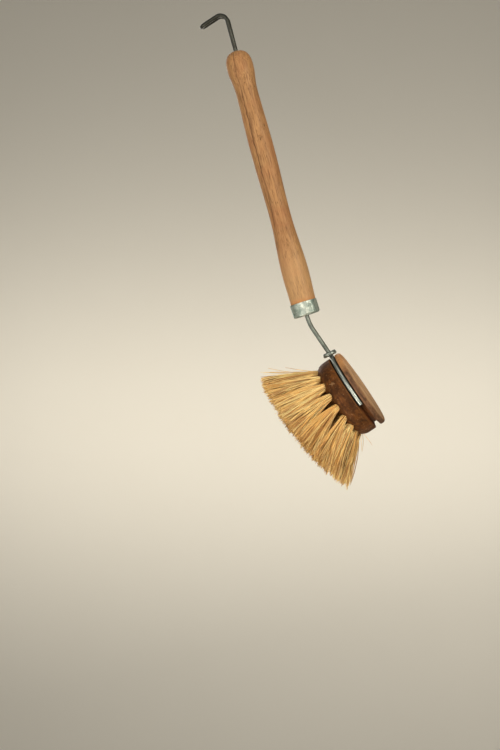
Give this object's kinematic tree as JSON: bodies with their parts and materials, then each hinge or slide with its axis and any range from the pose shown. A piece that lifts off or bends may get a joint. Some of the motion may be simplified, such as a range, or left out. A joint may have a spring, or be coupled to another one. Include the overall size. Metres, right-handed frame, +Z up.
{
  "type": "dish brush",
  "caption": "Long-handled wooden dish brush with a round replaceable head in a sprung wire clip, a sliding lock ring and a wire hook to hang it by.",
  "frame": {"origin": "seat inside the bend of the hook, where the brush hangs", "axes": "+Z up along the handle, towards the hook; -X the side that the bristles face; Y across the head"},
  "size_m": [0.0671, 0.0849, 0.297],
  "materials": {
    "beech_handle": "oiled, worn smooth, with a dark drying crack",
    "galvanised_ferrule": "galvanised, mottled",
    "steel_wire": "dull drawn wire",
    "stained_head": "dark with water and use, paler on the back",
    "staple_wire": "flat drawn wire",
    "bristle_fibre": "dry plant fibre"
  },
  "bodies": {
    "handle": {"handle": "beech_handle", "ferrule": "galvanised_ferrule", "hanger_wire": "steel_wire"},
    "head": {"head_block": "stained_head", "tuft_anchors": "staple_wire", "tuft_outer_01": "bristle_fibre", "tuft_outer_02": "bristle_fibre", "tuft_outer_03": "bristle_fibre", "tuft_outer_04": "bristle_fibre", "tuft_outer_05": "bristle_fibre", "tuft_outer_06": "bristle_fibre", "tuft_outer_07": "bristle_fibre", "tuft_outer_08": "bristle_fibre", "tuft_outer_09": "bristle_fibre", "tuft_outer_10": "bristle_fibre", "tuft_outer_11": "bristle_fibre", "tuft_outer_12": "bristle_fibre", "tuft_outer_13": "bristle_fibre", "tuft_outer_14": "bristle_fibre", "tuft_outer_15": "bristle_fibre", "tuft_outer_16": "bristle_fibre", "tuft_outer_17": "bristle_fibre", "tuft_outer_18": "bristle_fibre", "tuft_middle_01": "bristle_fibre", "tuft_middle_02": "bristle_fibre", "tuft_middle_03": "bristle_fibre", "tuft_middle_04": "bristle_fibre", "tuft_middle_05": "bristle_fibre", "tuft_middle_06": "bristle_fibre", "tuft_middle_07": "bristle_fibre", "tuft_middle_08": "bristle_fibre", "tuft_middle_09": "bristle_fibre", "tuft_middle_10": "bristle_fibre", "tuft_inner_01": "bristle_fibre", "tuft_inner_02": "bristle_fibre", "tuft_inner_03": "bristle_fibre", "tuft_inner_04": "bristle_fibre", "tuft_inner_05": "bristle_fibre"},
    "lock_ring": {"lock_ring": "steel_wire"},
    "left_prong": {"left_prong": "steel_wire"},
    "right_prong": {"right_prong": "steel_wire"}
  },
  "joints": [
    {"name": "ring_slide", "type": "slide", "parent": "handle", "child": "lock_ring", "axis": [-0.3305, 0, 0.9438], "range_m": [0, 0.0145]},
    {"name": "head_release", "type": "slide", "parent": "handle", "child": "head", "axis": [0.3305, 0, -0.9438], "range_m": [0, 0.036]},
    {"name": "left_prong_spread", "type": "hinge", "parent": "handle", "child": "left_prong", "pos_m": [0.01183, 0.0025, -0.2134], "axis": [0.9438, 0, 0.3305], "range_deg": [0, 7.6]},
    {"name": "right_prong_spread", "type": "hinge", "parent": "handle", "child": "right_prong", "pos_m": [0.01183, -0.0025, -0.2134], "axis": [-0.9438, 0, -0.3305], "range_deg": [0, 7.6]}
  ],
  "couplings": [
    {"joint": "left_prong_spread", "follows": "head_release", "rad_per_m": 3.6361},
    {"joint": "right_prong_spread", "follows": "head_release", "rad_per_m": 3.6361}
  ]
}
